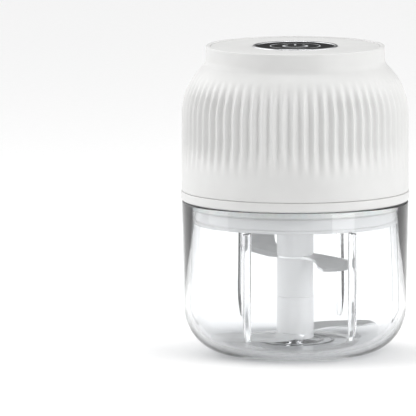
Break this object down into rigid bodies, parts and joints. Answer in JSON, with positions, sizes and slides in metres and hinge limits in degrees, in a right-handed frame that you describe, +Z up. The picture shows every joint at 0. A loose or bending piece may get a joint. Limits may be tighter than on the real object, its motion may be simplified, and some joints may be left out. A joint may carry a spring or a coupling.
{
  "type": "food processor",
  "caption": "Mini cordless food processor: clear ribbed bowl, double scimitar-blade cutter on a column, white food baffle and a fluted motor unit with a round push button on top.",
  "frame": {"origin": "centre of the bowl's underside, on the surface that the object stands on", "axes": "+Z up along the spindle, -Y to the front, +X to the right of someone facing the front"},
  "size_m": [0.0842, 0.0842, 0.114],
  "materials": {
    "clear_plastic": "clear polished copolyester",
    "white_shell": "satin white ABS",
    "white_food": "white food-grade polypropylene",
    "button_black": "high-gloss black",
    "chrome_trim": "electroplated",
    "blade_steel": "brushed stainless steel",
    "pin_steel": "ground stainless steel",
    "screw_steel": "zinc-plated steel",
    "bearing": "sintered bronze",
    "silicone": "translucent white silicone",
    "nylon": "natural glass-filled nylon",
    "acetal": "natural acetal",
    "board": "green solder mask on glass epoxy",
    "black_plastic": "black moulded",
    "cell_wrap": "shrink wrap",
    "nickel": "nickel",
    "motor_steel": "zinc-plated deep-drawn steel",
    "lamination": "stacked steel laminations",
    "copper": "copper",
    "ferrite": "sintered ferrite",
    "spring_steel": "spring wire"
  },
  "bodies": {
    "bowl": {"bowl": "clear_plastic", "spindle_pin": "pin_steel"},
    "bush": {"spindle_bush": "bearing"},
    "cutter": {"column_core": "white_food", "column_lower": "white_food", "column_middle": "white_food", "column_upper": "white_food", "drive_socket": "nylon", "lower_blade": "blade_steel", "upper_blade": "blade_steel"},
    "baffle": {"food_baffle": "white_food"},
    "motor_unit": {"base_cover": "white_shell", "seal_ring": "silicone", "motor_housing": "white_shell", "top_panel": "white_shell", "button_ring": "chrome_trim", "control_board": "board", "board_screws": "screw_steel", "tact_switch": "black_plastic", "charge_board": "board", "charge_port": "nickel", "battery_cell": "cell_wrap", "battery_holder": "black_plastic", "battery_tabs": "nickel", "gearbox_case": "nylon", "ring_gear": "acetal", "gearbox_lid": "nylon", "gearbox_screws": "screw_steel", "motor_screws": "screw_steel", "case_screws": "screw_steel", "motor_can": "motor_steel", "motor_end_cap": "black_plastic", "motor_magnets": "ferrite", "motor_bushes": "bearing", "output_bush": "bearing", "shaft_seal": "silicone", "button_spring": "spring_steel"},
    "button": {"power_button": "button_black", "switch_plunger": "black_plastic"},
    "rotor": {"rotor_shaft": "pin_steel", "armature": "lamination", "commutator": "copper", "sun_gear": "bearing"},
    "output": {"planet_carrier": "acetal", "planet_pins": "pin_steel", "drive_coupling": "nylon"},
    "planet_1": {"planet_gear_1": "acetal"},
    "planet_2": {"planet_gear_2": "acetal"},
    "planet_3": {"planet_gear_3": "acetal"},
    "port_flap": {"port_cover": "silicone"}
  },
  "joints": [
    {"name": "cutter_lift", "type": "slide", "parent": "bowl", "child": "bush", "axis": [0, 0, 1], "range_m": [0, 0.06]},
    {"name": "cutter_spin", "type": "hinge", "parent": "bush", "child": "cutter", "pos_m": [0, 0, 0.0138], "axis": [0, 0, 1], "continuous": true},
    {"name": "baffle_lift", "type": "slide", "parent": "bush", "child": "baffle", "axis": [0, 0, 1], "range_m": [0, 0.02]},
    {"name": "motor_unit_lift", "type": "slide", "parent": "baffle", "child": "motor_unit", "axis": [0, 0, 1], "range_m": [0, 0.03]},
    {"name": "button_press", "type": "slide", "parent": "motor_unit", "child": "button", "axis": [0, 0, -1], "range_m": [0, 0.0008], "stiffness_N_per_m": 400, "springref_m": -0.001, "deforming": ["button_spring"]},
    {"name": "carrier_spin", "type": "hinge", "parent": "motor_unit", "child": "output", "pos_m": [0, 0, 0.0658], "axis": [0, 0, 1], "continuous": true},
    {"name": "rotor_spin", "type": "hinge", "parent": "motor_unit", "child": "rotor", "pos_m": [0, 0, 0.087], "axis": [0, 0, 1], "continuous": true},
    {"name": "planet_1_spin", "type": "hinge", "parent": "output", "child": "planet_1", "pos_m": [0.0075, 0, 0.0695], "axis": [0, 0, 1], "continuous": true},
    {"name": "planet_2_spin", "type": "hinge", "parent": "output", "child": "planet_2", "pos_m": [-0.00375, 0.0065, 0.0695], "axis": [0, 0, 1], "continuous": true},
    {"name": "planet_3_spin", "type": "hinge", "parent": "output", "child": "planet_3", "pos_m": [-0.00375, -0.0065, 0.0695], "axis": [0, 0, 1], "continuous": true},
    {"name": "port_cover_hinge", "type": "hinge", "parent": "motor_unit", "child": "port_flap", "pos_m": [0, 0.0417, 0.0619], "axis": [-1, 0, 0], "range_deg": [0, 110]}
  ],
  "couplings": [
    {"joint": "carrier_spin", "follows": "cutter_spin", "ratio": 1},
    {"joint": "rotor_spin", "follows": "cutter_spin", "ratio": 4},
    {"joint": "planet_1_spin", "follows": "cutter_spin", "ratio": -3},
    {"joint": "planet_2_spin", "follows": "cutter_spin", "ratio": -3},
    {"joint": "planet_3_spin", "follows": "cutter_spin", "ratio": -3}
  ]
}
